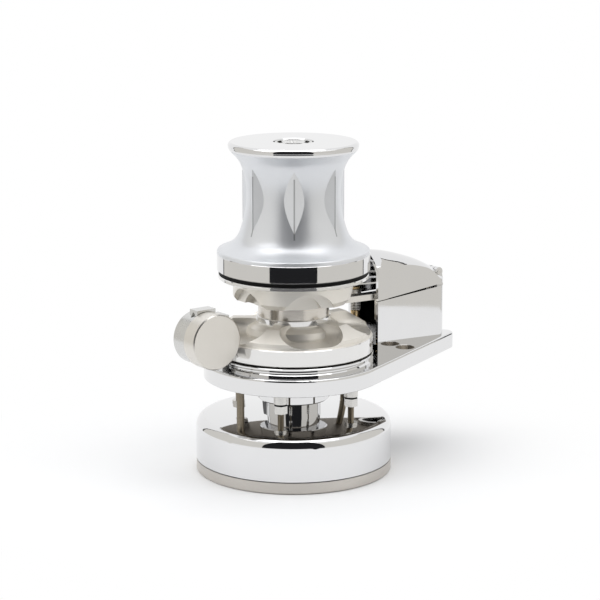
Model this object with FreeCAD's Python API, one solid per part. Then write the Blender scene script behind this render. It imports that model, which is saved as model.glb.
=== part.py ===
import FreeCAD, Part
import math
import os

V = FreeCAD.Vector
Z_AXIS = V(0, 0, 1)
CENTRE = V(0, 0, 0)

# ---------------------------------------------------------------- driving dimensions, mm
# The shaft axis is Z.  The chain-pipe end of the deck plate points along +X.

MOTOR_R = 69.0
MOTOR_BASE_TOP = 8.0
SEAL_THICK = 0.7
MOTOR_TOP = 38.5
MOTOR_FILLET = 6.8
MOTOR_WALL = 3.2

PLATE_BOTTOM = 66.6
PLATE_TOP = 78.6
PLATE_R = 63.4
PLATE_TIP_X = 139.0
PLATE_TIP_R = 7.0
PLATE_EDGE = 1.6

SHAFT_R = 8.0
SHAFT_BOTTOM = 22.4
SHAFT_TOP = 226.0
THREAD_R = 7.0
THREAD_BOTTOM = 214.0
RUNNING = 0.05

BASE_RING_R = 56.0
BASE_RING_TOP = 84.4

RIM_R = 55.6
RIM_BOTTOM = 85.6
RIM_TOP = 97.2
WHELPS = 5
WHELP_START = 214.0
LOWER_WHELP_TOP = 108.6
POCKET_FLOOR = 98.2
POCKET_CENTRE_R = 44.5
HUB_TOP = 110.9
BAND_R = 24.9
HALVES_MEET = 119.4
UPPER_WHELP_BOTTOM = 121.4
UPPER_DRUM_R = 42.3
FLANGE_R = 52.6
GYPSY_TOP = 140.0

DRUM_BASE_R = 53.5
DRUM_BASE_BOTTOM = 142.4
DRUM_BASE_TOP = 154.8
CAP_BOTTOM = 227.3
DRUM_TOP = 232.7
DRUM_RIM_R = 45.3
RIBS = 7
RIB_START = 234.0
RIB_CREST_R = 36.3
RIB_ROOT_R = 26.5
RIB_ROOT_HALF = 15.2

NUT_R = 13.4
NUT_TOP = 232.2

HOUSE_X = 62.5
HOUSE_HALF = 17.0
NOSE_X = 126.7
NOSE_R = 8.5
HOUSE_WALL = 2.5
HOUSE_SEAM = (113.8, 115.9)
LID_SEAM = (114.4, 117.8)
LID_WALL = 2.4
LID_PIN = V(129.0, 0, 125.8)
LID_PIN_R = 1.5
KNUCKLE_R = 3.4
EAR_IN = 2.7
EAR_OUT = 5.7
PIPE_X = (83.0, 104.0)
PIPE_R = (11.6, 8.0)

KNOB_AXIS_X = -75.2
KNOB_AXIS_Z = 103.5
KNOB_FACE_Y = -14.5
KNOB_R = 19.2
KNOB_THICK = 12.0

KEY_HALF = 2.5
KEY_OUT = 10.5
KEY_IN = 5.5
KEY_SPANS = ((22.4, 25.6), (86.2, 94.5), (131.5, 140.5), (158.0, 196.0))

ARM_PIN_X = 62.5
ARM_PIN_Y = 9.0
ARM_LOW = 112.6
ARM_HIGH = 119.2
FINGER_LOW = 114.6
FINGER_TOP = 118.9

HEAD_FRONT = KNOB_FACE_Y + KNOB_THICK + 0.6
HEAD_BACK = HEAD_FRONT + 13.0
POST_X = -56.5

# Distance along X, height of the lid's side crease and height of its crown.
LID_SECTIONS = (
    (58.0, 132.4, 149.4), (68.0, 138.2, 148.8), (78.0, 138.4, 147.2), (88.0, 137.4, 144.7),
    (98.0, 135.9, 141.6), (108.0, 133.4, 138.0), (118.0, 129.6, 133.4), (126.0, 123.4, 128.9),
    (132.0, 119.8, 124.6), (138.0, 118.2, 119.6),
)
LID_ACROSS = (-1.0, -0.75, -0.5, -0.25, 0.0, 0.25, 0.5, 0.75, 1.0)

GEAR_MODULE = 1.0
SUN_TEETH = 12
PLANET_TEETH = 24
RING_TEETH = 60
PLANET_ANGLES = (0.0, 120.0, 240.0)
GEAR_BOTTOM = 12.4
GEAR_TOP = 21.4

SCREW_R = 1.5
BRACKET_SCREWS = ((-59.6, 0.2), (-59.6, 8.2))
CLAMP_POINTS = ((-36.5, -34.0), (14.0, -47.5), (36.5, 34.0), (-14.0, 47.5))
STUD_POINTS = ((-55.0, -12.6), (55.0, 12.6))
SLEEVE_R = 25.0
SLEEVE_FOOT_R = 19.0
SLEEVE_STEP = 50.5
TERMINAL_TURN = -15.0


# ---------------------------------------------------------------- helpers

def at(angle, radius, z=0.0):
    turn = math.radians(angle)
    return V(radius * math.cos(turn), radius * math.sin(turn), z)


def disc(radius, low, high, x=0.0, y=0.0):
    return Part.makeCylinder(radius, high - low, V(x, y, low))


def ring(outer, inner, low, high, x=0.0, y=0.0):
    return disc(outer, low, high, x, y).cut(disc(inner, low - 1, high + 1, x, y))


def box(low, high):
    return Part.makeBox(high[0] - low[0], high[1] - low[1], high[2] - low[2], V(*low))


def polygon(points):
    return Part.Face(Part.makePolygon([V(*p) for p in points] + [V(*points[0])]))


def spun(profile):
    """Solid of revolution about Z from (radius, height) points."""
    return polygon([(r, 0, z) for r, z in profile]).revolve(CENTRE, Z_AXIS, 360)


def union(shapes):
    return shapes[0].multiFuse(shapes[1:]).removeSplitter()


def turned(shape, angle):
    copy = shape.copy()
    copy.rotate(CENTRE, Z_AXIS, angle)
    return copy


def hexagon(across, low, high, x, y):
    points = [V(x, y, low) + at(60 * i, across / math.sqrt(3)) for i in range(6)]
    face = Part.Face(Part.makePolygon(points + [points[0]]))
    return face.extrude(V(0, 0, high - low))


def edges_at(shape, test):
    return [e for e in shape.Edges if test(e)]


def is_flat_ring(edge, z, radius):
    curve = edge.Curve
    level = abs(edge.BoundBox.ZMin - z) < 0.01 and abs(edge.BoundBox.ZMax - z) < 0.01
    return level and hasattr(curve, "Radius") and abs(curve.Radius - radius) < 0.01


def teardrop(radius, tip_x, tip_r, low, high):
    """Round plate whose straight tangent sides run to a small round tip on +X."""
    lean = math.asin((radius - tip_r) / tip_x)
    big = V(radius * math.sin(lean), radius * math.cos(lean), low)
    small = V(tip_x + tip_r * math.sin(lean), tip_r * math.cos(lean), low)
    mirror = [V(p.x, -p.y, p.z) for p in (big, small)]
    edges = [
        Part.LineSegment(big, small).toShape(),
        Part.Arc(small, V(tip_x + tip_r, 0, low), mirror[1]).toShape(),
        Part.LineSegment(mirror[1], mirror[0]).toShape(),
        Part.Arc(mirror[0], V(-radius, 0, low), big).toShape(),
    ]
    return Part.Face(Part.Wire(edges)).extrude(V(0, 0, high - low))


def pipe_hole(grow, low, high):
    """Tapered slot for the chain: two round ends joined by tangent sides."""
    slot = teardrop(PIPE_R[0] + grow, PIPE_X[1] - PIPE_X[0], PIPE_R[1] + grow, low, high)
    slot.translate(V(PIPE_X[0], 0, 0))
    return slot


# ---------------------------------------------------------------- motor unit under the deck

def motor_base_plate():
    plate = disc(MOTOR_R, 0, MOTOR_BASE_TOP)
    plate = plate.makeChamfer(0.8, edges_at(plate, lambda e: is_flat_ring(e, 0, MOTOR_R)))
    plate = plate.cut(ring(54, 10, 3.5, MOTOR_BASE_TOP + 1))
    plate = plate.cut(disc(7, 3.5, MOTOR_BASE_TOP + 1))
    for point in base_screw_points():
        plate = plate.cut(disc(2.5, -1, 9, point.x, point.y))
        plate = plate.cut(disc(4.6, -1, 3.0, point.x, point.y))
    return plate


def base_screw_points():
    return [at(45 + 90 * i, 61.5) for i in range(4)]


def base_screws():
    screws = []
    for p in base_screw_points():
        head = disc(4.4, 0.6, 3.0, p.x, p.y).cut(hexagon(3.0, 0, 1.8, p.x, p.y))
        screws.append(head.fuse(disc(2.5, 3.0, 16, p.x, p.y)).removeSplitter())
    return screws


def housing_seal():
    seal = ring(MOTOR_R - 0.9, 56.5, MOTOR_BASE_TOP, MOTOR_BASE_TOP + SEAL_THICK)
    for p in base_screw_points():
        seal = seal.cut(disc(2.5, 0, 20, p.x, p.y))
    return seal


def motor_housing():
    low = MOTOR_BASE_TOP + SEAL_THICK
    cup = disc(MOTOR_R + 0.1, low, MOTOR_TOP)
    cup = cup.makeFillet(MOTOR_FILLET, edges_at(cup, lambda e: is_flat_ring(e, MOTOR_TOP, MOTOR_R + 0.1)))
    inside = disc(MOTOR_R - MOTOR_WALL, low - 1, MOTOR_TOP - MOTOR_WALL)
    inside = inside.makeFillet(4, edges_at(
        inside, lambda e: is_flat_ring(e, MOTOR_TOP - MOTOR_WALL, MOTOR_R - MOTOR_WALL)))
    cup = cup.cut(inside)
    bosses = [disc(37, 26, MOTOR_TOP - 1)]
    bosses += [disc(5, 26, MOTOR_TOP - 1, x, y) for x, y in CLAMP_POINTS + STUD_POINTS]
    bosses += [disc(5, low, MOTOR_TOP - 5, p.x, p.y) for p in base_screw_points()]
    cup = union([cup] + bosses)
    cup = cup.cut(disc(14, 25, 35)).cut(disc(12, 34, 40))
    for x, y in CLAMP_POINTS:
        cup = cup.cut(disc(2.0, 30, 40, x, y))
    for x, y in STUD_POINTS:
        cup = cup.cut(disc(2.65, 30, 40, x, y))
    for p in base_screw_points():
        cup = cup.cut(disc(2.5, 0, 16, p.x, p.y))
    return cup


def field_magnets():
    magnets = []
    for i in range(8):
        sector = ring(50, 30, 3.5, 7.5).common(box((20, -9.5, 0), (60, 9.5, 9)))
        magnets.append(turned(sector, 45 * i))
    return magnets


def armature():
    plate = ring(51, 9, 8.3, 10.6)
    for i in range(24):
        spot = at(15 * i, 42)
        plate = plate.cut(disc(1.6, 8, 11, spot.x, spot.y))
    return plate


def brush_ring():
    body = ring(MOTOR_R - MOTOR_WALL, 43, 20, 24)
    for p in base_screw_points():
        body = body.cut(disc(5.2, 19, 25, p.x, p.y))
    return body


def brushes():
    return [turned(box((44, -3, 11.0), (50, 3, 20)), 90 * i) for i in range(4)]


def rotor_bush():
    return ring(7, 4 + RUNNING, 3.5, 7.9)


def gear_profile(teeth, tip_add, root_add, z, inward=False):
    pitch_r = GEAR_MODULE * teeth / 2
    half = math.degrees(math.pi / (2 * teeth)) * 0.84
    flank = math.degrees(math.tan(math.radians(20)) / pitch_r)
    sign = -1 if inward else 1
    tip_r = pitch_r + sign * tip_add
    root_r = pitch_r - sign * root_add
    points = []
    for i in range(teeth):
        mid = 360.0 * i / teeth
        points.append(at(mid - half - flank * root_add, root_r, z))
        points.append(at(mid - half + flank * tip_add, tip_r, z))
        points.append(at(mid + half - flank * tip_add, tip_r, z))
        points.append(at(mid + half + flank * root_add, root_r, z))
    return Part.Face(Part.makePolygon(points + [points[0]]))


def gear(teeth, low, high, inward=False):
    return gear_profile(teeth, 0.8, 1.15, low, inward).extrude(V(0, 0, high - low))


def sun_pinion():
    hub = disc(9, 8.3, 11.6)
    stub = disc(4, 3.8, 8.4)
    return union([gear(SUN_TEETH, 11.5, GEAR_TOP), hub, stub])


def planet_radius():
    return GEAR_MODULE * (SUN_TEETH + PLANET_TEETH) / 2


def planet(angle):
    blank = turned(gear(PLANET_TEETH, GEAR_BOTTOM, GEAR_TOP), 180.0 / PLANET_TEETH)
    blank = blank.cut(disc(3 + RUNNING, 0, 30))
    blank.translate(V(planet_radius(), 0, 0))
    return turned(blank, angle)


def ring_gear():
    wall = disc(36, GEAR_BOTTOM - 0.4, 26)
    wall = wall.cut(gear(RING_TEETH, GEAR_BOTTOM - 1, GEAR_TOP + 0.3, inward=True))
    return wall.cut(disc(31, GEAR_TOP + 0.2, 27))


def planet_carrier():
    body = disc(27, 22.4, 25.6)
    for angle in PLANET_ANGLES:
        spot = at(angle, planet_radius())
        body = body.fuse(disc(3, GEAR_BOTTOM, 23, spot.x, spot.y))
    return body.removeSplitter().cut(disc(SHAFT_R, 20, 30)).cut(key_box(22.4, 25.6))


def output_bush():
    return ring(14, SHAFT_R + RUNNING, 26.4, 35)


def shaft_seal():
    return ring(12, SHAFT_R + RUNNING, 35, 38.2)


def terminal_block():
    block = box((-8.0, 31.0, MOTOR_TOP), (8.0, 41.0, MOTOR_TOP + 10.5))
    block = block.makeChamfer(0.6, [e for e in block.Edges if e.BoundBox.ZMin > MOTOR_TOP + 1])
    for x in (-4.0, 4.0):
        block = block.cut(disc(2.2, MOTOR_TOP + 4, MOTOR_TOP + 12, x, 36))
    return turned(block, TERMINAL_TURN)


def terminal_studs():
    posts = []
    for x in (-4.0, 4.0):
        post = disc(2.2, MOTOR_TOP + 4, MOTOR_TOP + 12.5, x, 36)
        nut = hexagon(5.5, MOTOR_TOP + 10.5, MOTOR_TOP + 13.0, x, 36)
        posts.append(turned(post.fuse(nut).removeSplitter(), TERMINAL_TURN))
    return posts


# ---------------------------------------------------------------- deck clamp and plate

def motor_studs():
    rods = []
    for x, y in STUD_POINTS:
        rod = disc(2.65, 31, PLATE_BOTTOM + 6, x, y)
        grooves = [ring(4, 2.3, z * 1.0, z + 0.45, x, y) for z in range(39, 67)]
        rods.append(rod.cut(Part.makeCompound(grooves)))
    return rods


def clamp_studs():
    return [disc(2.0, 30.5, PLATE_BOTTOM + 6, x, y) for x, y in CLAMP_POINTS]


def clamp_washers():
    return [ring(4.6, 2.0, MOTOR_TOP, MOTOR_TOP + 2.0, x, y) for x, y in CLAMP_POINTS]


def clamp_nuts():
    nuts = []
    for x, y in CLAMP_POINTS:
        upper = ring(4.9, 2.0, PLATE_BOTTOM - 7.6, PLATE_BOTTOM, x, y)
        lower = hexagon(8.6, PLATE_BOTTOM - 14.4, PLATE_BOTTOM - 9.0, x, y)
        nuts += [upper, lower.cut(disc(2.0, 40, 70, x, y))]
    return nuts


def clamp_rubbers():
    low, high = PLATE_BOTTOM - 9.0, PLATE_BOTTOM - 7.6
    return [ring(4.4, 2.0, low, high, x, y) for x, y in CLAMP_POINTS]


def shaft_sleeve():
    """Stepped neck between the motor unit and the plate, with the shaft running inside."""
    return spun([
        (SHAFT_R + 0.6, MOTOR_TOP), (SLEEVE_FOOT_R, MOTOR_TOP), (SLEEVE_FOOT_R, SLEEVE_STEP),
        (SLEEVE_R - 0.8, SLEEVE_STEP), (SLEEVE_R, SLEEVE_STEP + 0.8), (SLEEVE_R, PLATE_BOTTOM),
        (SHAFT_R + 0.6, PLATE_BOTTOM),
    ])


def bolt_points():
    return ((84.0, -21.6), (84.0, 21.6))


def house_screw_points():
    return ((70.0, -13.4), (70.0, 13.4))


def deck_plate():
    plate = teardrop(PLATE_R, PLATE_TIP_X, PLATE_TIP_R, PLATE_BOTTOM, PLATE_TOP)
    top = edges_at(plate, lambda e: e.BoundBox.ZMin > PLATE_TOP - 0.01)
    plate = plate.makeFillet(PLATE_EDGE, top)
    low = edges_at(plate, lambda e: e.BoundBox.ZMax < PLATE_BOTTOM + 0.01)
    plate = plate.makeFillet(0.8, low)
    plate = union([plate, disc(24, PLATE_TOP - 1, 82.6)])
    plate = plate.cut(disc(14, 60, 90))
    plate = plate.cut(pipe_hole(0, 60, 90))
    for x, y in bolt_points():
        plate = plate.cut(disc(4.25, 60, 90, x, y))
        plate = plate.cut(Part.makeCone(4.25, 7.0, 2.75, V(x, y, PLATE_TOP - 2.75)))
    for x, y in CLAMP_POINTS:
        plate = plate.cut(disc(2.0, 60, PLATE_BOTTOM + 6, x, y))
    for x, y in STUD_POINTS:
        plate = plate.cut(disc(2.65, 60, PLATE_BOTTOM + 6, x, y))
    plate = plate.cut(disc(2.0, 74, 90, ARM_PIN_X, ARM_PIN_Y))
    for shape in plate_studs():
        plate = plate.cut(shape)
    return plate


def chainpipe_collar():
    return pipe_hole(3.0, PLATE_BOTTOM - 5.0, PLATE_BOTTOM).cut(pipe_hole(0, 60, 90))


def base_ring():
    profile = [
        (30, PLATE_TOP), (BASE_RING_R, PLATE_TOP), (BASE_RING_R, PLATE_TOP + 1.2),
        (BASE_RING_R - 1.3, PLATE_TOP + 2.4), (BASE_RING_R - 1.3, PLATE_TOP + 3.2),
        (BASE_RING_R, PLATE_TOP + 4.6), (BASE_RING_R, BASE_RING_TOP - 0.3),
        (BASE_RING_R - 0.3, BASE_RING_TOP), (30, BASE_RING_TOP),
    ]
    return spun(profile)


def base_bush():
    return ring(14, SHAFT_R + RUNNING, PLATE_BOTTOM, 82.6)


def thrust_washer():
    return ring(22, SHAFT_R + 0.3, 82.6, 84.4)


# ---------------------------------------------------------------- shaft, clutch cones and keys


def key_box(low, high):
    return box((KEY_IN, -KEY_HALF, low), (KEY_OUT, KEY_HALF, high))


def main_shaft():
    shaft = disc(SHAFT_R, SHAFT_BOTTOM, THREAD_BOTTOM).fuse(disc(THREAD_R, THREAD_BOTTOM, SHAFT_TOP))
    shaft = shaft.removeSplitter()
    for low, high in KEY_SPANS:
        shaft = shaft.cut(key_box(low, high))
    return shaft


def shaft_keys():
    return [key_box(low, high) for low, high in KEY_SPANS]


def lower_clutch_cone():
    cone = spun([(SHAFT_R, 84.8), (30, 84.8), (30, 87.0), (25, 96.0), (SHAFT_R, 96.0)])
    return cone.cut(key_box(*KEY_SPANS[1]))


def upper_clutch_cone():
    cone = spun([(SHAFT_R, 130.6), (24, 130.6), (29, 139.8), (29, 142.0), (SHAFT_R, 142.0)])
    return cone.cut(key_box(*KEY_SPANS[2]))


# ---------------------------------------------------------------- gypsy (chain wheel)

def lower_blank():
    """The lower half before its pockets: clutch seat, rim and the cone that the whelps leave."""
    return spun([
        (12, 97.4), (26.2, 97.4), (31.4, 88.0), (31.4, RIM_BOTTOM), (RIM_R - 0.5, RIM_BOTTOM),
        (RIM_R, RIM_BOTTOM + 0.5), (RIM_R, RIM_TOP - 0.8), (RIM_R - 0.8, RIM_TOP),
        (54.0, POCKET_FLOOR + 0.2), (54.0, 101.0), (42.5, LOWER_WHELP_TOP), (12, LOWER_WHELP_TOP),
    ])


def pocket():
    """A round-bottomed dish that clears one chain link, about its own upright axis."""
    floor, top = POCKET_FLOOR, POCKET_FLOOR + 12.8
    rim = Part.Arc(V(12, 0, floor), V(19.5, 0, floor + 2.6), V(22, 0, top)).toShape()
    edges = [
        Part.LineSegment(V(0, 0, floor), V(12, 0, floor)).toShape(), rim,
        Part.LineSegment(V(22, 0, top), V(0, 0, top)).toShape(),
        Part.LineSegment(V(0, 0, top), V(0, 0, floor)).toShape(),
    ]
    return Part.Face(Part.Wire(edges)).revolve(CENTRE, Z_AXIS, 360)


def lower_hub():
    return spun([
        (12, 97.4), (34.2, 97.4), (34.0, 99.6), (32.4, 103.2), (29.4, 105.3), (26.6, 106.3),
        (25.9, 107.2), (25.9, HUB_TOP - 0.4), (25.5, HUB_TOP), (12, HUB_TOP),
    ])


def gypsy_screw_points():
    return [at(WHELP_START + 72 * i, 18.4) for i in range(WHELPS)]


def gypsy_lower():
    body = lower_blank()
    for i in range(WHELPS):
        spot = at(WHELP_START + 360.0 / WHELPS * (i + 0.5), POCKET_CENTRE_R)
        dish = pocket()
        dish.translate(spot)
        body = body.cut(dish)
    body = union([body, lower_hub()])
    for p in gypsy_screw_points():
        body = body.cut(disc(2.0, 106, 125, p.x, p.y))
    return body


def gypsy_spacer():
    """Turned ring between the two halves of the chain wheel."""
    body = ring(BAND_R, 12, HUB_TOP, HALVES_MEET)
    for p in gypsy_screw_points():
        body = body.cut(disc(2.0, 106, 125, p.x, p.y))
    return body


def upper_blank():
    return spun([
        (12, HALVES_MEET), (28, HALVES_MEET), (33, UPPER_WHELP_BOTTOM), (39.5, UPPER_WHELP_BOTTOM),
        (UPPER_DRUM_R, 125.0), (UPPER_DRUM_R, 134.8), (FLANGE_R - 0.6, 137.2),
        (FLANGE_R, 137.8), (FLANGE_R, GYPSY_TOP - 0.5), (FLANGE_R - 0.5, GYPSY_TOP),
        (30.2, GYPSY_TOP), (24.9, 130.2), (12, 130.2),
    ])


def arch(half_width, top, reach_from, reach_to, angle):
    """Radial tunnel with an elliptical top, used to scoop the upper pockets."""
    low = 112.0
    centre = V(reach_from, 0, low)
    ellipse = Part.Ellipse(centre + V(0, 0, top - low), centre + V(0, half_width, 0), centre)
    face = Part.Face(Part.Wire([ellipse.toShape()]))
    return turned(face.extrude(V(reach_to - reach_from, 0, 0)), angle)


def gypsy_upper():
    body = upper_blank()
    for i in range(WHELPS):
        angle = WHELP_START + 360.0 / WHELPS * (i + 0.5)
        body = body.cut(arch(20.3, 133.4, 34.5, 60, angle))
        body = body.cut(arch(11.2, 129.3, 27.5, 60, angle))
    for p in gypsy_screw_points():
        body = body.cut(disc(2.0, 115, 135, p.x, p.y))
        body = body.cut(disc(3.6, 126, 135, p.x, p.y))
    return body


def gypsy_screws():
    screws = []
    for p in gypsy_screw_points():
        head = disc(3.6, 126, 129.8, p.x, p.y).cut(hexagon(3.0, 128, 131, p.x, p.y))
        screws.append(head.fuse(disc(2.0, 106.2, 126, p.x, p.y)).removeSplitter())
    return screws


def gypsy_bush():
    return ring(12, SHAFT_R + RUNNING, 97.4, 130.2)


# ---------------------------------------------------------------- drum

def drum_outline():
    points = [
        (51.4, 157.6), (45.2, 160.7), (41.7, 163.4), (38.6, 167.6), (36.2, 174.0),
        (33.6, 184.5), (32.6, 196.0), (33.5, 206.5), (36.2, 216.2), (38.5, 220.6),
        (42.0, 224.6), (44.6, CAP_BOTTOM),
    ]
    curve = Part.BSplineCurve()
    curve.interpolate([V(r, 0, z) for r, z in points])
    return curve


def drum_revolved():
    curve = drum_outline()
    start, end = curve.StartPoint, curve.EndPoint
    lip = V(53.3, 0, 156.2)
    base = V(53.3, 0, DRUM_BASE_TOP)
    inner = [V(SHAFT_R, 0, DRUM_BASE_TOP), V(SHAFT_R, 0, 220), V(14.2, 0, 220), V(14.2, 0, CAP_BOTTOM)]
    edges = [Part.LineSegment(V(*inner[3]), end).toShape(), curve.toShape()]
    edges.append(Part.Arc(start, V(52.9, 0, 157.1), lip).toShape())
    edges.append(Part.LineSegment(lip, base).toShape())
    chain = [base] + inner
    edges += [Part.LineSegment(chain[i], chain[i + 1]).toShape() for i in range(len(chain) - 1)]
    wire = Part.Wire(Part.__sortEdges__(edges))
    return Part.Face(wire).revolve(CENTRE, Z_AXIS, 360)


def rib():
    low, high = 160.0, 226.0
    apex = [(RIB_CREST_R - 0.35, -0.5), (RIB_CREST_R, 0.0), (RIB_CREST_R - 0.35, 0.5)]
    points = [(RIB_ROOT_R, -RIB_ROOT_HALF)] + apex + [(RIB_ROOT_R, RIB_ROOT_HALF), (20.0, 0.0)]
    return polygon([(x, y, low) for x, y in points]).extrude(V(0, 0, high - low))


def drum_body():
    body = drum_revolved()
    body = union([body] + [turned(rib(), RIB_START + 360.0 / RIBS * i) for i in range(RIBS)])
    body = body.cut(ring(25.0, 14.0, 150, 212))
    body = body.cut(key_box(*KEY_SPANS[3]))
    for p in drum_screw_points():
        body = body.cut(disc(2.5, 150, 160, p.x, p.y))
    return body


def drum_screw_points():
    return [at(60 * i, 41) for i in range(6)]


def drum_base_ring():
    profile = [
        (SHAFT_R, 146.5), (31, 146.5), (31, DRUM_BASE_BOTTOM), (DRUM_BASE_R - 1.2, DRUM_BASE_BOTTOM),
        (DRUM_BASE_R, 143.6), (DRUM_BASE_R, DRUM_BASE_TOP - 0.4), (DRUM_BASE_R - 0.4, DRUM_BASE_TOP),
        (SHAFT_R, DRUM_BASE_TOP),
    ]
    body = spun(profile)
    for p in drum_screw_points():
        body = body.cut(disc(2.5, 140, 160, p.x, p.y)).cut(disc(4.2, 140, 147.4, p.x, p.y))
    return body


def drum_screws():
    screws = []
    for p in drum_screw_points():
        head = disc(4.2, 143.4, 147.4, p.x, p.y).cut(hexagon(4.0, 142, 145.4, p.x, p.y))
        screws.append(head.fuse(disc(2.5, 147.4, 159.6, p.x, p.y)).removeSplitter())
    return screws


def drum_seal_ring():
    return ring(52.3, 47.5, 140.5, DRUM_BASE_BOTTOM)


def drum_top_cap():
    rim = V(DRUM_RIM_R, 0, 229.6)
    top = V(DRUM_RIM_R - 1.9, 0, DRUM_TOP)
    foot = V(44.6, 0, CAP_BOTTOM)
    inner = [V(14.0, 0, CAP_BOTTOM), V(14.0, 0, DRUM_TOP - 0.5), V(14.5, 0, DRUM_TOP)]
    edges = [
        Part.LineSegment(inner[0], foot).toShape(),
        Part.Arc(foot, V(45.15, 0, 228.4), rim).toShape(),
        Part.Arc(rim, V(DRUM_RIM_R - 0.55, 0, 231.9), top).toShape(),
        Part.LineSegment(top, inner[2]).toShape(),
        Part.LineSegment(inner[2], inner[1]).toShape(),
        Part.LineSegment(inner[1], inner[0]).toShape(),
    ]
    return Part.Face(Part.Wire(edges)).revolve(CENTRE, Z_AXIS, 360)


def clutch_nut():
    nut = disc(NUT_R, 221.9, NUT_TOP)
    nut = nut.makeChamfer(0.5, edges_at(nut, lambda e: is_flat_ring(e, NUT_TOP, NUT_R)))
    nut = nut.cut(disc(THREAD_R + RUNNING, 220, SHAFT_TOP + 0.6))
    groove = ring(11.2, 8.2, NUT_TOP - 3.4, NUT_TOP + 1)
    bridge = box((-2.1, -14, NUT_TOP - 4), (2.1, 14, NUT_TOP + 2))
    for angle in (8, 98):
        groove = groove.cut(turned(bridge, angle))
    nut = nut.cut(groove)
    return nut.cut(Part.makeCone(2.0, 3.2, 1.6, V(0, 0, NUT_TOP - 1.6)))


def nut_washer():
    return ring(13.2, THREAD_R + 1.2, 220.0, 221.6)


# ---------------------------------------------------------------- chain-pipe housing and lid

def house_plan(inset, low, high, x_start=HOUSE_X):
    """Tapered plan with a round nose; inset moves every wall inwards."""
    nose = NOSE_R - inset
    half = HOUSE_HALF - inset
    run = NOSE_X - HOUSE_X
    lean = math.asin((HOUSE_HALF - NOSE_R) / run)
    tangent = V(NOSE_X + nose * math.sin(lean), nose * math.cos(lean), low)
    slope = math.tan(lean)
    start = V(x_start, half - (x_start - HOUSE_X) * slope, low)
    other = [V(p.x, -p.y, p.z) for p in (start, tangent)]
    edges = [
        Part.LineSegment(start, tangent).toShape(),
        Part.Arc(tangent, V(NOSE_X + nose, 0, low), other[1]).toShape(),
        Part.LineSegment(other[1], other[0]).toShape(),
        Part.LineSegment(other[0], start).toShape(),
    ]
    return Part.Face(Part.Wire(edges)).extrude(V(0, 0, high - low))


def above_seam(heights):
    """Everything above the sloping joint between housing and lid."""
    nose_x = NOSE_X + NOSE_R
    slope = (heights[1] - heights[0]) / (nose_x - HOUSE_X)
    low = heights[0] - 12.5 * slope
    high = heights[1] + 10 * slope
    corners = [(HOUSE_X - 12.5, -30, low), (nose_x + 10, -30, high), (nose_x + 10, -30, 200),
               (HOUSE_X - 12.5, -30, 200)]
    return polygon(corners).extrude(V(0, 60, 0))


def hinge_ear(side):
    y0, y1 = sorted((side * EAR_IN, side * EAR_OUT))
    outline = [(127.2, 107.0), (133.6, 107.0), (133.6, 116.4), (132.0, 124.4), (126.2, 124.4),
               (127.2, 116.0)]
    ear = polygon([(x, y0, z) for x, z in outline]).extrude(V(0, y1 - y0, 0))
    ear = ear.fuse(knuckle(KNUCKLE_R, y0, y1)).removeSplitter()
    return ear.common(house_plan(0, 100, 140))


def chainpipe_housing():
    shell = house_plan(0, PLATE_TOP, 120)
    shell = shell.cut(house_plan(HOUSE_WALL, PLATE_TOP - 1, 121, HOUSE_X - 5))
    shell = shell.cut(above_seam(HOUSE_SEAM))
    pads = []
    for x, y in house_screw_points():
        pads.append(disc(2.8, PLATE_TOP, PLATE_TOP + 9, x, y).common(house_plan(0, 70, 100)))
    shell = union([shell, hinge_ear(-1), hinge_ear(1)] + pads)
    shell = shell.cut(knuckle(LID_PIN_R, -10, 10))
    for x, y in house_screw_points():
        shell = shell.cut(disc(SCREW_R, PLATE_TOP - 1, PLATE_TOP + 6, x, y))
    return shell


def knuckle(radius, y0, y1):
    return Part.makeCylinder(radius, y1 - y0, V(LID_PIN.x, y0, LID_PIN.z), V(0, 1, 0))


def plate_studs():
    """Studs set in the deck plate: two each for the housing and the brake bracket."""
    points = house_screw_points() + BRACKET_SCREWS
    return [disc(SCREW_R, PLATE_TOP - 8, PLATE_TOP + 6, x, y) for x, y in points]


def lock_screw():
    hole_y = (HEAD_FRONT + HEAD_BACK - 4) / 2
    return Part.makeCylinder(1.6, 11.0, V(KNOB_AXIS_X - 5.5, hole_y, KNOB_AXIS_Z + 17.2), V(1, 0, 0))


def top_screws():
    return plate_studs() + [lock_screw()]


def lid_block(inset, low, x_start):
    """Everything under the crowned skin and inside the housing's plan."""
    narrowing = math.tan(math.asin((HOUSE_HALF - NOSE_R) / (NOSE_X - HOUSE_X)))
    rows = []
    for x, crease, crown in LID_SECTIONS:
        half = HOUSE_HALF - (x - HOUSE_X) * narrowing - inset
        edge = crease - inset * 0.6
        rise = crown - inset - edge
        reach = half + 2.0
        across = [reach * share for share in LID_ACROSS]
        rows.append([V(x, y, edge + rise * (1 - (y / half) ** 2)) for y in across])
    skin = Part.BSplineSurface()
    skin.interpolate(rows)
    under = skin.toShape().extrude(V(0, 0, -90))
    return house_plan(inset, low, 160, x_start).common(under)


def chainpipe_lid():
    outer = lid_block(0, LID_SEAM[0] - 4, HOUSE_X)
    inner = lid_block(LID_WALL, LID_SEAM[0] - 9, HOUSE_X - 3)
    lid = outer.cut(inner).common(above_seam(LID_SEAM))
    for side in (-1, 1):
        y0, y1 = sorted((side * (EAR_IN - 0.4), side * (EAR_OUT + 0.5)))
        lid = lid.cut(box((LID_PIN.x - 4.1, y0, 110), (140, y1, 135)))
    barrel = knuckle(KNUCKLE_R - 0.1, 0.4 - EAR_IN, EAR_IN - 0.4)
    lid = union([lid, barrel])
    return lid.cut(knuckle(LID_PIN_R + RUNNING, -10, 10))


def lid_pin():
    return knuckle(LID_PIN_R, 0.2 - EAR_OUT - 0.4, EAR_OUT + 0.2)


# ---------------------------------------------------------------- stripper and pressure arm


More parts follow.
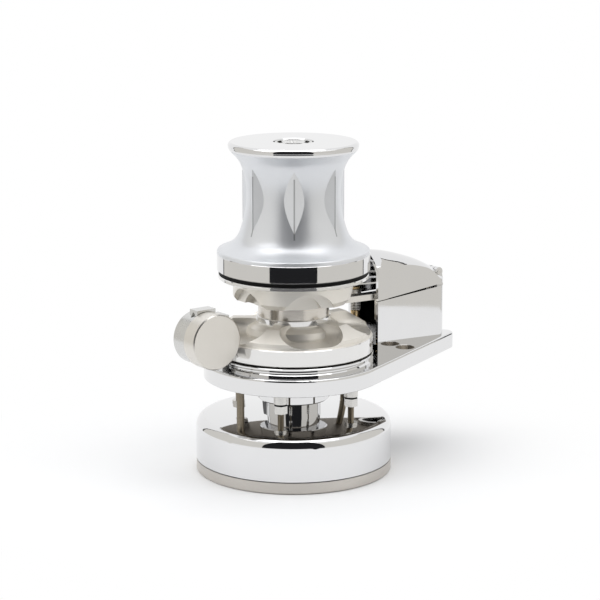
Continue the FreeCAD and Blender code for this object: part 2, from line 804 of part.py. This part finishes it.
def chain_stripper():
    """Finger that lifts the chain out of the gypsy, welded inside the housing's near wall."""
    reach = box((HOUSE_X + 0.9, -30, 90), (76.0, 0, 130))
    low = house_plan(HOUSE_WALL, 100, 113.2).cut(house_plan(5.0, 90, 130, HOUSE_X - 5))
    high = house_plan(HOUSE_WALL + 0.6, 113.0, FINGER_TOP).cut(house_plan(5.0, 90, 130, HOUSE_X - 5))
    foot = union([low.common(reach), high.common(reach)])
    outline = [(74.0, -10.8), (74.0, -5.4), (46.0, -2.8), (27.2, -2.6), (27.2, -4.6), (40.0, -9.6),
               (HOUSE_X + 0.9, -12.2)]
    finger = polygon([(x, y, FINGER_LOW) for x, y in outline]).extrude(V(0, 0, FINGER_TOP - FINGER_LOW))
    return union([foot, finger])


def pressure_arm():
    hub = disc(4.2, ARM_LOW, ARM_HIGH, ARM_PIN_X, ARM_PIN_Y)
    start = V(ARM_PIN_X, ARM_PIN_Y, 0)
    tip = V(41.5, 24.0, 0)
    along = (tip - start).normalize()
    side = V(-along.y, along.x, 0)
    corners = [start + side * 2.6, tip + side * 1.8, tip - side * 1.8, start - side * 2.6]
    bar = polygon([(p.x, p.y, ARM_LOW + 0.6) for p in corners]).extrude(V(0, 0, ARM_HIGH - ARM_LOW - 1.2))
    roller = disc(3.0, ARM_LOW + 0.6, ARM_HIGH - 0.6, tip.x, tip.y)
    arm = union([hub, bar, roller])
    return arm.cut(disc(2.0 + RUNNING, 60, 140, ARM_PIN_X, ARM_PIN_Y))


def arm_pin():
    pin = disc(2.0, 74.2, 120.2, ARM_PIN_X, ARM_PIN_Y)
    head = disc(3.2, 119.6, 121.0, ARM_PIN_X, ARM_PIN_Y)
    shoulder = disc(3.4, PLATE_TOP, 103.6, ARM_PIN_X, ARM_PIN_Y)
    return union([pin, head, shoulder])


def arm_spring():
    coils = []
    for i in range(6):
        coils.append(Part.makeTorus(3.4, 0.55, V(ARM_PIN_X, ARM_PIN_Y, 104.6 + 1.2 * i)))
    return coils


# ---------------------------------------------------------------- brake

def along_y(radius, y0, y1):
    return Part.makeCylinder(radius, y1 - y0, V(KNOB_AXIS_X, y0, KNOB_AXIS_Z), V(0, 1, 0))


def brake_bracket():
    y0, y1 = HEAD_FRONT, HEAD_BACK
    head = along_y(KNOB_R - 0.8, y0, y1)
    post = box((-70.0, y0, 86.0), (POST_X, y1, KNOB_AXIS_Z + 14.5))
    foot = box((-66.0, y0, PLATE_TOP), (POST_X, y1, 90.0)).common(disc(PLATE_R - 1.0, 70, 100))
    lug = box((KNOB_AXIS_X - 7.5, y0, KNOB_AXIS_Z + 14), (KNOB_AXIS_X + 7.5, y1 - 4, KNOB_AXIS_Z + 20.6))
    body = union([head, post, foot, lug])
    body = body.cut(along_y(5.0 + RUNNING, y0 - 1, y1 + 1))
    body = body.cut(along_y(11.5, y0 + 4, y1 - 4))
    slot = box((-71.0, y0 + 3.5, 86.6), (POST_X + 1, y1 - 3.5, 113.0))
    body = body.cut(slot)
    hole_y = (y0 + y1 - 4) / 2
    cross = Part.makeCylinder(1.6, 20, V(KNOB_AXIS_X - 10, hole_y, KNOB_AXIS_Z + 17.2), V(1, 0, 0))
    body = body.cut(cross)
    for x, y in BRACKET_SCREWS:
        body = body.cut(disc(SCREW_R, 70, PLATE_TOP + 6, x, y))
    return body


def brake_knob():
    knob = along_y(KNOB_R, KNOB_FACE_Y, KNOB_FACE_Y + KNOB_THICK)
    front = edges_at(knob, lambda e: e.BoundBox.YMax < KNOB_FACE_Y + 0.01)
    knob = knob.makeChamfer(0.8, front)
    return knob.cut(along_y(5.0, KNOB_FACE_Y + 4, 5))


def brake_spindle():
    rod = along_y(5.0, KNOB_FACE_Y + 4, HEAD_BACK + 2.0)
    cam = Part.makeCylinder(9.0, 4.4, V(KNOB_AXIS_X, HEAD_FRONT + 4.3, KNOB_AXIS_Z - 0.55), V(0, 1, 0))
    return union([rod, cam])


def brake_shoe():
    y0, y1 = HEAD_FRONT + 3.9, HEAD_BACK - 3.9
    shoe = box((-65.6, y0, 87.2), (-60.4, y1, 112.4))
    return shoe.fuse(box((-60.5, y0, 87.2), (-58.6, y1, 96.2))).removeSplitter()


def brake_lining():
    y0, y1 = HEAD_FRONT + 3.9, HEAD_BACK - 3.9
    pad = box((-58.6, y0, 87.2), (-50.0, y1, 96.2))
    return pad.cut(disc(RIM_R + 0.8, 80, 100))


def spindle_clip():
    return Part.makeCylinder(7.0, 1.4, V(KNOB_AXIS_X, HEAD_BACK + 0.4, KNOB_AXIS_Z), V(0, 1, 0)).cut(
        along_y(5.0, 0, 40))


# ---------------------------------------------------------------- export

PARTS = {
    "motor_base_plate": motor_base_plate, "base_screws": base_screws, "housing_seal": housing_seal,
    "motor_housing": motor_housing, "field_magnets": field_magnets, "armature": armature,
    "brush_ring": brush_ring, "brushes": brushes, "rotor_bush": rotor_bush,
    "sun_pinion": sun_pinion, "ring_gear": ring_gear, "planet_carrier": planet_carrier,
    "output_bush": output_bush, "shaft_seal": shaft_seal, "terminal_block": terminal_block,
    "terminal_studs": terminal_studs, "motor_studs": motor_studs, "clamp_studs": clamp_studs,
    "clamp_washers": clamp_washers, "clamp_nuts": clamp_nuts, "clamp_rubbers": clamp_rubbers,
    "shaft_sleeve": shaft_sleeve, "deck_plate": deck_plate, "chainpipe_collar": chainpipe_collar,
    "base_ring": base_ring, "base_bush": base_bush, "thrust_washer": thrust_washer,
    "main_shaft": main_shaft, "shaft_keys": shaft_keys, "lower_clutch_cone": lower_clutch_cone,
    "upper_clutch_cone": upper_clutch_cone, "gypsy_lower": gypsy_lower,
    "gypsy_spacer": gypsy_spacer, "gypsy_upper": gypsy_upper,
    "gypsy_screws": gypsy_screws, "gypsy_bush": gypsy_bush, "drum_body": drum_body,
    "drum_base_ring": drum_base_ring, "drum_screws": drum_screws, "drum_seal_ring": drum_seal_ring,
    "drum_top_cap": drum_top_cap, "clutch_nut": clutch_nut, "nut_washer": nut_washer,
    "chainpipe_housing": chainpipe_housing, "top_screws": top_screws,
    "chainpipe_lid": chainpipe_lid, "lid_pin": lid_pin, "chain_stripper": chain_stripper,
    "pressure_arm": pressure_arm, "arm_pin": arm_pin, "arm_spring": arm_spring,
    "brake_bracket": brake_bracket, "brake_knob": brake_knob,
    "brake_spindle": brake_spindle, "spindle_clip": spindle_clip, "brake_shoe": brake_shoe,
    "brake_lining": brake_lining,
}


def export(name, shape):
    if isinstance(shape, list):
        shape = Part.makeCompound(shape)
    if not shape.isValid():
        print("not valid:", name)
    shape.exportStep("parts/" + name + ".step")


os.makedirs("parts", exist_ok=True)
for part_name, maker in PARTS.items():
    export(part_name, maker())
for number, planet_angle in enumerate(PLANET_ANGLES, 1):
    export("planet_gear_%d" % number, planet(planet_angle))
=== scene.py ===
"""Looks of a deck capstan with its chain gypsy, deck plate, chain cover and motor unit."""
import math

import bpy
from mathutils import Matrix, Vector


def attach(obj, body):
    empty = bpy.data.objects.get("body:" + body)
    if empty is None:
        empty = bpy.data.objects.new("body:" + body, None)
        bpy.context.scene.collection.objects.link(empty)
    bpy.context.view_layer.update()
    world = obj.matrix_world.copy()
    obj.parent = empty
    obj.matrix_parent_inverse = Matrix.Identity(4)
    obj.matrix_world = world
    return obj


MM = 0.001

# Camera: a long lens, a little above the object and to its left.
AIM_HEIGHT = 0.1206
AIM_SIDE = 0.0045
CAMERA_DISTANCE = 1.463
CAMERA_PITCH = math.radians(12.4)
CAMERA_AZIMUTH = math.radians(-37.0)
CAMERA_LENS = 125.4
SENSOR_WIDTH = 36.0

# Studio: a white floor and a round wall of screens that only reflections see. The wall is
# dark in front, grey at the sides, ends in a thin dark line and is open behind. Degrees
# are counted from the front, lengths are in metres.
SCREEN_R = 0.56
SCREEN_STEP = 3.0
FRONT_TOP = 2.4
SIDE_TOP = 0.66
FRONT_HALF = 34.0
SIDE_END = 122.5
LINE_END = 125.0
FLOOR_SIZE = 6.0
FLOOR_DROP = 0.0002
SHADOW_FADE = (0.09, 0.26)
WORLD_FILL = 0.62

# Lamps: name, metres to the right, metres away, height, size and power.
LAMP_TARGET = (0, 0, 0.1)
LAMPS = (
    ("lamp_top", 0.0, 0.0, 1.5, (1.4, 1.4), 9.0),
    ("lamp_left", -1.3, -0.6, 0.9, (1.0, 1.2), 8.0),
    ("lamp_right", 1.4, -0.4, 0.8, (1.0, 1.2), 5.0),
)

# Drum: seven ribs, the first facing the camera, each with a line of painted shade along its
# crest between two heights in metres. The line's half width fades over these shares of a pitch.
DRUM_RIBS = 7
DRUM_RIB_START = math.radians(234.0)
DRUM_PAINTED_SHADE = (0.170, 0.2115)
DRUM_PAINTED_SHADE_WIDTH = (0.004, 0.024)

# Deck plate, in metres: its underside, its top and the two bolt holes.
PLATE_UNDERSIDE = 0.06665
PLATE_TOP = 0.0785
BOLT_X = 0.084
BOLT_Y = 0.0216
BOLT_HOLE_R = 0.0073

# Motor housing: how its top is shaded, falling with the square of the radius.
HOUSING_TOP = 0.0383
HOUSING_CROWN = 1.1

MIRROR_COLOUR = (0.76, 0.76, 0.765)
# Dark brown painted shade for the deck plate's underside and bolt holes.
PAINTED_SHADE_COLOUR = (0.16, 0.14, 0.115)
POLISHED_COLOUR = (0.78, 0.775, 0.765)

# Threads on the clamp studs between washer and nut, in millimetres.
CLAMP_POINTS = ((-36.5, -34.0), (14.0, -47.5), (36.5, 34.0), (-14.0, 47.5))
CLAMP_THREAD = (40.6, 52.2)
CLAMP_RADIUS = 2.05
CLAMP_PITCH = 0.8
CLAMP_DEPTH = 0.32
THREAD_SIDES = 24
THREAD_STEPS = 6


# ---------------------------------------------------------------- materials

class Surface:
    """One node material, built step by step on its Principled shader."""

    def __init__(self, name, colour, metallic, roughness):
        self.material = bpy.data.materials.new(name)
        self.material.use_nodes = True
        self.tree = self.material.node_tree
        self.shader = self.tree.nodes["Principled BSDF"]
        self.shader.inputs["Base Color"].default_value = (*colour, 1)
        self.shader.inputs["Metallic"].default_value = metallic
        self.shader.inputs["Roughness"].default_value = roughness
        self.coords = self.add("ShaderNodeTexCoord").outputs["Object"]

    def add(self, kind, **settings):
        made = self.tree.nodes.new(kind)
        for key, value in settings.items():
            setattr(made, key, value)
        return made

    def link(self, start, end):
        self.tree.links.new(start, end)

    def math(self, operation, first, second=None, clamp=False):
        made = self.add("ShaderNodeMath", operation=operation, use_clamp=clamp)
        for socket, value in zip(made.inputs, (first, second)):
            if value is None:
                continue
            if isinstance(value, (int, float)):
                socket.default_value = value
            else:
                self.link(value, socket)
        return made.outputs[0]

    def noise(self, scale, detail=3.0, stretch=(1, 1, 1), rough=0.5):
        mapping = self.add("ShaderNodeMapping")
        mapping.inputs["Scale"].default_value = stretch
        self.link(self.coords, mapping.inputs["Vector"])
        made = self.add("ShaderNodeTexNoise")
        made.inputs["Scale"].default_value = scale
        made.inputs["Detail"].default_value = detail
        made.inputs["Roughness"].default_value = rough
        self.link(mapping.outputs[0], made.inputs["Vector"])
        return made.outputs["Fac"]

    def ramp(self, factor, low, high, start=0.3, end=0.7):
        made = self.add("ShaderNodeMapRange", clamp=True)
        made.inputs["From Min"].default_value = start
        made.inputs["From Max"].default_value = end
        made.inputs["To Min"].default_value = low
        made.inputs["To Max"].default_value = high
        self.link(factor, made.inputs["Value"])
        return made.outputs[0]

    def tint(self, factor, dark, light):
        self.link(self.mix_colour(factor, dark, light), self.shader.inputs["Base Color"])

    def vary_roughness(self, scale, detail, low, high):
        self.link(self.ramp(self.noise(scale, detail), low, high),
                  self.shader.inputs["Roughness"])

    def mix_colour(self, factor, first, second):
        made = self.add("ShaderNodeMix", data_type="RGBA")
        self.link(factor, made.inputs["Factor"])
        for socket, value in ((made.inputs[6], first), (made.inputs[7], second)):
            if isinstance(value, tuple):
                socket.default_value = (*value, 1)
            else:
                self.link(value, socket)
        return made.outputs[2]

    def bump(self, height, distance, strength=1.0, under=None):
        made = self.add("ShaderNodeBump")
        made.inputs["Distance"].default_value = distance
        made.inputs["Strength"].default_value = strength
        self.link(height, made.inputs["Height"])
        if under is not None:
            self.link(under, made.inputs["Normal"])
        self.link(made.outputs[0], self.shader.inputs["Normal"])
        return made.outputs[0]

    def polish_waves(self, under=None):
        """The faint waviness that polishing leaves."""
        return self.bump(self.noise(26, 1), 0.00004, 1.0, under)

    def position(self):
        split = self.add("ShaderNodeSeparateXYZ")
        self.link(self.coords, split.inputs[0])
        return split.outputs[0], split.outputs[1], split.outputs[2]

    def length(self, x, y):
        squares = self.math("ADD", self.math("MULTIPLY", x, x), self.math("MULTIPLY", y, y))
        return self.math("SQRT", squares)

    def inverse(self, value):
        return self.math("SUBTRACT", 1.0, value)

    def between(self, value, low, high):
        above = self.math("GREATER_THAN", value, low)
        below = self.math("LESS_THAN", value, high)
        return self.math("MULTIPLY", above, below)


def shade(colour, share):
    return tuple(c * share for c in colour)


def mirror_steel():
    s = Surface("mirror_steel", MIRROR_COLOUR, 1.0, 0.04)
    s.vary_roughness(38, 4, 0.025, 0.06)
    s.bump(s.noise(900, 2, (1, 1, 1.6)), 0.0000016, 1.0, s.polish_waves())
    s.tint(s.noise(60, 2), shade(MIRROR_COLOUR, 0.97), MIRROR_COLOUR)
    return s.material


def housing_finish():
    """Polished cup whose flat top is shaded as slightly crowned."""
    s = Surface("housing_steel", MIRROR_COLOUR, 1.0, 0.04)
    x, y, z = s.position()
    radius = s.length(x, y)
    fall = s.math("MULTIPLY", s.math("MULTIPLY", radius, radius), -HOUSING_CROWN)
    top = s.math("GREATER_THAN", z, HOUSING_TOP)
    s.polish_waves(s.bump(s.math("MULTIPLY", fall, top), 1.0))
    return s.material


def plate_finish():
    """Polished plate whose underside and bolt holes are left rough as cast and carry a dark
    painted shade.
    """
    s = Surface("plate_steel", MIRROR_COLOUR, 1.0, 0.04)
    x, y, z = s.position()
    along = s.math("SUBTRACT", x, BOLT_X)
    aside = s.math("SUBTRACT", s.math("ABSOLUTE", y), BOLT_Y)
    in_hole = s.math("MULTIPLY", s.math("LESS_THAN", s.length(along, aside), BOLT_HOLE_R),
                     s.math("LESS_THAN", z, PLATE_TOP))
    above = s.math("GREATER_THAN", z, PLATE_UNDERSIDE)
    polished = s.math("MULTIPLY", above, s.inverse(in_hole))
    # Painted shade: the underside and the bolt holes take the dark brown colour, the rest the
    # mirror colour.
    s.tint(polished, PAINTED_SHADE_COLOUR, MIRROR_COLOUR)
    s.link(s.ramp(polished, 0.4, 0.045, 0.0, 1.0), s.shader.inputs["Roughness"])
    s.polish_waves()
    return s.material


def blasted(name, colour, roughness, grain=1800, depth=0.000022):
    s = Surface(name, colour, 1.0, roughness)
    fine = s.noise(grain, 3, rough=0.6)
    s.bump(fine, depth)
    s.vary_roughness(70, 3, roughness - 0.03, roughness + 0.03)
    s.tint(fine, shade(colour, 0.93), colour)
    return s.material


def turned(name, colour, roughness, lines=(0.02, 0.02, 1.0), scale=2600, depth=0.000012):
    s = Surface(name, colour, 1.0, roughness)
    grooves = s.noise(scale, 2, lines, 0.7)
    s.bump(grooves, depth)
    s.link(s.ramp(grooves, roughness - 0.05, roughness + 0.07), s.shader.inputs["Roughness"])
    s.tint(grooves, shade(colour, 0.9), colour)
    return s.material


def gypsy_finish(name, colour, roughness, polished):
    """Blasted pockets with polished places, each (low r, high r, low z, high z) in metres."""
    s = Surface(name, colour, 1.0, roughness)
    s.link(s.ramp(s.noise(40, 2), 0.78, 0.86), s.shader.inputs["Metallic"])
    x, y, z = s.position()
    radius = s.length(x, y)
    mask = None
    for low_r, high_r, low_z, high_z in polished:
        one = s.math("MULTIPLY", s.between(radius, low_r, high_r), s.between(z, low_z, high_z))
        mask = one if mask is None else s.math("MAXIMUM", mask, one)
    fine = s.noise(1500, 3, rough=0.6)
    s.bump(s.math("MULTIPLY", fine, s.inverse(mask)), 0.000028)
    rough = s.ramp(s.noise(70, 3), roughness - 0.03, roughness + 0.04)
    rough_mix = s.add("ShaderNodeMix", data_type="FLOAT")
    s.link(mask, rough_mix.inputs["Factor"])
    s.link(rough, rough_mix.inputs[2])
    rough_mix.inputs[3].default_value = 0.07
    s.link(rough_mix.outputs[0], s.shader.inputs["Roughness"])
    s.tint(mask, s.mix_colour(fine, shade(colour, 0.92), colour), POLISHED_COLOUR)
    return s.material


def drum_finish(name, colour, roughness):
    """Satin drum whose ribs have a line of painted shade along the crest."""
    s = Surface(name, colour, 0.74, roughness)
    fine = s.noise(1800, 3, rough=0.6)
    s.bump(fine, 0.000022)
    s.vary_roughness(70, 3, roughness - 0.03, roughness + 0.03)
    x, y, z = s.position()
    angle = s.math("SUBTRACT", s.math("ARCTAN2", y, x), DRUM_RIB_START)
    pitches = s.math("MULTIPLY", angle, DRUM_RIBS / math.tau)
    place = s.math("FRACT", s.math("ADD", pitches, DRUM_RIBS + 1.5))
    offset = s.math("ABSOLUTE", s.math("SUBTRACT", place, 0.5))
    away_from_painted_shade = s.ramp(offset, 0.0, 1.0, *DRUM_PAINTED_SHADE_WIDTH)
    past_ends = s.inverse(s.between(z, *DRUM_PAINTED_SHADE))
    grain = s.mix_colour(fine, shade(colour, 0.95), colour)
    # Painted shade: the colour falls to 45 percent along each rib's crest.
    s.tint(s.math("MAXIMUM", away_from_painted_shade, past_ends), shade(colour, 0.45), grain)
    return s.material


def rubber(name, colour, roughness, specular=0.5):
    s = Surface(name, colour, 0.0, roughness)
    s.shader.inputs["Specular IOR Level"].default_value = specular
    s.bump(s.noise(1400, 3), 0.00002)
    s.tint(s.noise(200, 3), shade(colour, 0.7), colour)
    return s.material


def make_materials():
    return {
        "mirror": mirror_steel(),
        "plate": plate_finish(),
        "housing": housing_finish(),
        "drum": drum_finish("drum_satin", (0.72, 0.735, 0.76), 0.34),
        "gypsy_low": gypsy_finish(
            "gypsy_low_nickel", (0.80, 0.77, 0.715), 0.38,
            ((0.0552, 0.0560, 0.0850, 0.0980), (0.0250, 0.0264, 0.1070, 0.1112))),
        "gypsy_high": gypsy_finish(
            "gypsy_high_nickel", (0.81, 0.785, 0.735), 0.38,
            ((0.0430, 0.0530, 0.1355, 0.1405), (0.0230, 0.0252, 0.1190, 0.1216))),
        "base": turned("base_brushed", (0.62, 0.59, 0.55), 0.34),
        "hardware": turned("hardware_steel", (0.70, 0.69, 0.67), 0.24),
        "stud": turned("stud_zinc", (0.30, 0.26, 0.20), 0.32),
        "spacer": turned("spacer_turned", (0.70, 0.665, 0.615), 0.2),
        "knob": blasted("knob_satin", (0.77, 0.745, 0.70), 0.34, 2400, 0.000012),
        "bracket": blasted("bracket_satin", (0.68, 0.68, 0.67), 0.26, 1500, 0.00001),
        "bronze": turned("bronze_machined", (0.70, 0.53, 0.30), 0.26),
        "rubber": rubber("rubber_black", (0.003, 0.003, 0.003), 0.62, 0.12),
        "plastic": rubber("plastic_black", (0.018, 0.018, 0.022), 0.4),
        "iron": blasted("iron_dark", (0.18, 0.18, 0.19), 0.5),
        "finger": turned("finger_steel", (0.74, 0.72, 0.68), 0.16),
    }


NODE_FINISH = {
    "plate": ("deck_plate",),
    "housing": ("motor_housing",),
    "mirror": ("shaft_sleeve", "base_ring", "chainpipe_housing",
               "chainpipe_lid", "drum_base_ring", "drum_top_cap"),
    "drum": ("drum_body",),
    "gypsy_low": ("gypsy_lower",),
    "gypsy_high": ("gypsy_upper",),
    "base": ("motor_base_plate",),
    "stud": ("motor_studs", "clamp_studs"),
    "spacer": ("gypsy_spacer",),
    "knob": ("brake_knob",),
    "bracket": ("brake_bracket", "clutch_nut", "pressure_arm"),
    "bronze": ("base_bush", "thrust_washer", "output_bush", "rotor_bush", "gypsy_bush",
               "arm_pin", "terminal_studs"),
    "rubber": ("housing_seal", "drum_seal_ring", "shaft_seal", "clamp_rubbers",
               "brake_lining"),
    "plastic": ("terminal_block", "brush_ring"),
    "iron": ("field_magnets", "brushes"),
    "finger": ("chain_stripper",),
}


def dress(nodes, materials):
    chosen = {n: materials[f] for f, names in NODE_FINISH.items() for n in names}
    for name, obj in nodes.items():
        finish = chosen.get(name, materials["hardware"])
        if not obj.data.materials:
            obj.data.materials.append(finish)
        for place in range(len(obj.data.materials)):
            obj.data.materials[place] = finish


# ---------------------------------------------------------------- meshes

def mesh_object(name, vertices, faces, material, smooth=True):
    mesh = bpy.data.meshes.new(name)
    mesh.from_pydata([tuple(v) for v in vertices], [], faces)
    mesh.materials.append(material)
    mesh.polygons.foreach_set("use_smooth", [smooth] * len(mesh.polygons))
    obj = bpy.data.objects.new(name, mesh)
    bpy.context.scene.collection.objects.link(obj)
    return obj


def screw_threads(name, places, radius, pitch, depth, material):
    """One object of threaded sleeves, each (x, y, low z, high z) in metres."""
    around = THREAD_SIDES
    vertices = []
    faces = []
    for x, y, low, high in places:
        first = len(vertices)
        rows = int((high - low) / pitch * THREAD_STEPS)
        for row in range(rows + 1):
            z = low + (high - low) * row / rows
            fade = min(1.0, row / THREAD_STEPS, (rows - row) / THREAD_STEPS)
            for k in range(around):
                angle = 2 * math.pi * k / around
                phase = (z / pitch - k / around) % 1.0
                crest = 1.0 - abs(2 * phase - 1)
                r = radius - 0.25 * depth + depth * crest * fade
                vertices.append((x + r * math.cos(angle), y + r * math.sin(angle), z))
        for row in range(rows):
            for k in range(around):
                a = first + row * around + k
                b = first + row * around + (k + 1) % around
                faces.append((a, b, b + around, a + around))
        faces.append(tuple(first + k for k in reversed(range(around))))
        faces.append(tuple(first + rows * around + k for k in range(around)))
    return mesh_object(name, vertices, faces, material, smooth=False)


# ---------------------------------------------------------------- studio

def glow_material(name, colour, strength):
    material = bpy.data.materials.new(name)
    material.use_nodes = True
    tree = material.node_tree
    tree.nodes.remove(tree.nodes["Principled BSDF"])
    glow = tree.nodes.new("ShaderNodeEmission")
    glow.inputs["Color"].default_value = (*colour, 1)
    glow.inputs["Strength"].default_value = strength
    tree.links.new(glow.outputs[0], tree.nodes["Material Output"].inputs["Surface"])
    return material


def screen(name, start, end, top, material):
    """Part of a round wall about the object, seen in reflections only."""
    front = math.degrees(CAMERA_AZIMUTH) - 90.0
    steps = max(2, int(abs(end - start) / SCREEN_STEP))
    vertices = []
    for k in range(steps + 1):
        angle = math.radians(front + start + (end - start) * k / steps)
        for z in (0.0, top):
            vertices.append((SCREEN_R * math.cos(angle), SCREEN_R * math.sin(angle), z))
    faces = [(2 * k, 2 * k + 2, 2 * k + 3, 2 * k + 1) for k in range(steps)]
    wall = mesh_object(name, vertices, faces, material)
    wall.visible_camera = False
    wall.visible_diffuse = False
    wall.visible_shadow = False
    wall.visible_transmission = False
    wall.visible_volume_scatter = False


def seen_by(tree, *rays):
    """1 for the named kinds of ray and 0 for the rest."""
    path = tree.nodes.new("ShaderNodeLightPath")
    seen = path.outputs[rays[0]]
    for ray in rays[1:]:
        either = tree.nodes.new("ShaderNodeMath")
        either.operation = "MAXIMUM"
        tree.links.new(seen, either.inputs[0])
        tree.links.new(path.outputs[ray], either.inputs[1])
        seen = either.outputs[0]
    return seen


def mix_shaders(tree, share, first, second, output):
    mix = tree.nodes.new("ShaderNodeMixShader")
    tree.links.new(share, mix.inputs[0])
    tree.links.new(first.outputs[0], mix.inputs[1])
    tree.links.new(second.outputs[0], mix.inputs[2])
    tree.links.new(mix.outputs[0], tree.nodes[output].inputs["Surface"])


def floor_material():
    """Holds the shadow near the object and is plain white further out."""
    material = bpy.data.materials.new("floor_pale")
    material.use_nodes = True
    tree = material.node_tree
    shader = tree.nodes["Principled BSDF"]
    shader.inputs["Base Color"].default_value = (0.93, 0.93, 0.93, 1)
    shader.inputs["Roughness"].default_value = 0.9
    shader.inputs["Specular IOR Level"].default_value = 0.0
    white = tree.nodes.new("ShaderNodeEmission")
    white.inputs["Strength"].default_value = 1.0
    coords = tree.nodes.new("ShaderNodeTexCoord")
    length = tree.nodes.new("ShaderNodeVectorMath")
    length.operation = "LENGTH"
    tree.links.new(coords.outputs["Object"], length.inputs[0])
    fade = tree.nodes.new("ShaderNodeMapRange")
    fade.interpolation_type = "SMOOTHSTEP"
    fade.inputs["From Min"].default_value = SHADOW_FADE[0]
    fade.inputs["From Max"].default_value = SHADOW_FADE[1]
    tree.links.new(length.outputs["Value"], fade.inputs["Value"])
    share = tree.nodes.new("ShaderNodeMath")
    share.operation = "MULTIPLY"
    tree.links.new(seen_by(tree, "Is Camera Ray", "Is Glossy Ray"), share.inputs[0])
    tree.links.new(fade.outputs[0], share.inputs[1])
    mix_shaders(tree, share.outputs[0], shader, white, "Material Output")
    return material


def make_floor():
    half = FLOOR_SIZE / 2
    corners = [(-half, -half, 0), (half, -half, 0), (half, half, 0), (-half, half, 0)]
    floor = mesh_object("floor", corners, [(0, 1, 2, 3)], floor_material())
    floor.location.z = -FLOOR_DROP


def make_world():
    world = bpy.data.worlds.new("studio")
    bpy.context.scene.world = world
    world.use_nodes = True
    tree = world.node_tree
    fill = tree.nodes["Background"]
    fill.inputs["Color"].default_value = (0.97, 0.98, 1.0, 1)
    fill.inputs["Strength"].default_value = WORLD_FILL
    shown = tree.nodes.new("ShaderNodeBackground")
    shown.inputs["Color"].default_value = (1, 1, 1, 1)
    shown.inputs["Strength"].default_value = 1.0
    seen = seen_by(tree, "Is Camera Ray", "Is Glossy Ray", "Is Transmission Ray")
    mix_shaders(tree, seen, fill, shown, "World Output")


def area_lamp(name, place, size, power):
    data = bpy.data.lights.new(name, "AREA")
    data.shape = "RECTANGLE"
    data.size, data.size_y = size
    data.energy = power
    lamp = bpy.data.objects.new(name, data)
    lamp.location = place
    lamp.rotation_euler = (Vector(LAMP_TARGET) - place).to_track_quat("-Z", "Y").to_euler()
    bpy.context.scene.collection.objects.link(lamp)


def view_axes():
    sin_a, cos_a = math.sin(CAMERA_AZIMUTH), math.cos(CAMERA_AZIMUTH)
    away = Vector((-sin_a, cos_a, 0))
    right = Vector((cos_a, sin_a, 0))
    return away, right


def make_camera():
    away, right = view_axes()
    aim = Vector((0, 0, AIM_HEIGHT)) + right * AIM_SIDE
    back = -away * math.cos(CAMERA_PITCH) + Vector((0, 0, math.sin(CAMERA_PITCH)))
    data = bpy.data.cameras.new("camera")
    data.lens = CAMERA_LENS
    data.sensor_width = SENSOR_WIDTH
    data.clip_start = 0.05
    data.clip_end = 50
    camera = bpy.data.objects.new("camera", data)
    camera.location = aim + back * CAMERA_DISTANCE
    camera.rotation_euler = (-back).to_track_quat("-Z", "Y").to_euler()
    bpy.context.scene.collection.objects.link(camera)
    bpy.context.scene.camera = camera


def make_studio():
    away, right = view_axes()
    bpy.context.scene.view_settings.view_transform = "Standard"
    make_world()
    make_floor()
    dark = glow_material("screen_dark", (0.9, 0.92, 1.0), 0.02)
    grey = glow_material("screen_grey", (1.0, 0.975, 0.92), 0.74)
    screen("screen_front", -FRONT_HALF, FRONT_HALF, FRONT_TOP, dark)
    for side, word in ((-1, "left"), (1, "right")):
        screen("screen_" + word, side * FRONT_HALF, side * SIDE_END, SIDE_TOP, grey)
        screen("screen_line_" + word, side * SIDE_END, side * LINE_END, SIDE_TOP, dark)
    for name, to_right, to_back, height, size, power in LAMPS:
        area_lamp(name, right * to_right + away * to_back + Vector((0, 0, height)), size, power)


# ---------------------------------------------------------------- the part

def stud_threads(material):
    low, high = CLAMP_THREAD
    places = [(x * MM, y * MM, low * MM, high * MM) for x, y in CLAMP_POINTS]
    threads = screw_threads("clamp_stud_threads", places, CLAMP_RADIUS * MM, CLAMP_PITCH * MM,
                            CLAMP_DEPTH * MM, material)
    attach(threads, "base")


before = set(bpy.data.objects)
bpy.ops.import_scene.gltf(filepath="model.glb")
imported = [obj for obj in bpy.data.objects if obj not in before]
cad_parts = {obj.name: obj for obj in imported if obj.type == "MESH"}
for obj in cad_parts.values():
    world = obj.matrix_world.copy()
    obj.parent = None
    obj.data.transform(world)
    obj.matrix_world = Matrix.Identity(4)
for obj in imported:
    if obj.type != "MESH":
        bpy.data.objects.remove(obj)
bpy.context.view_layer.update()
materials = make_materials()
dress(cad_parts, materials)
stud_threads(materials["stud"])
make_camera()
make_studio()
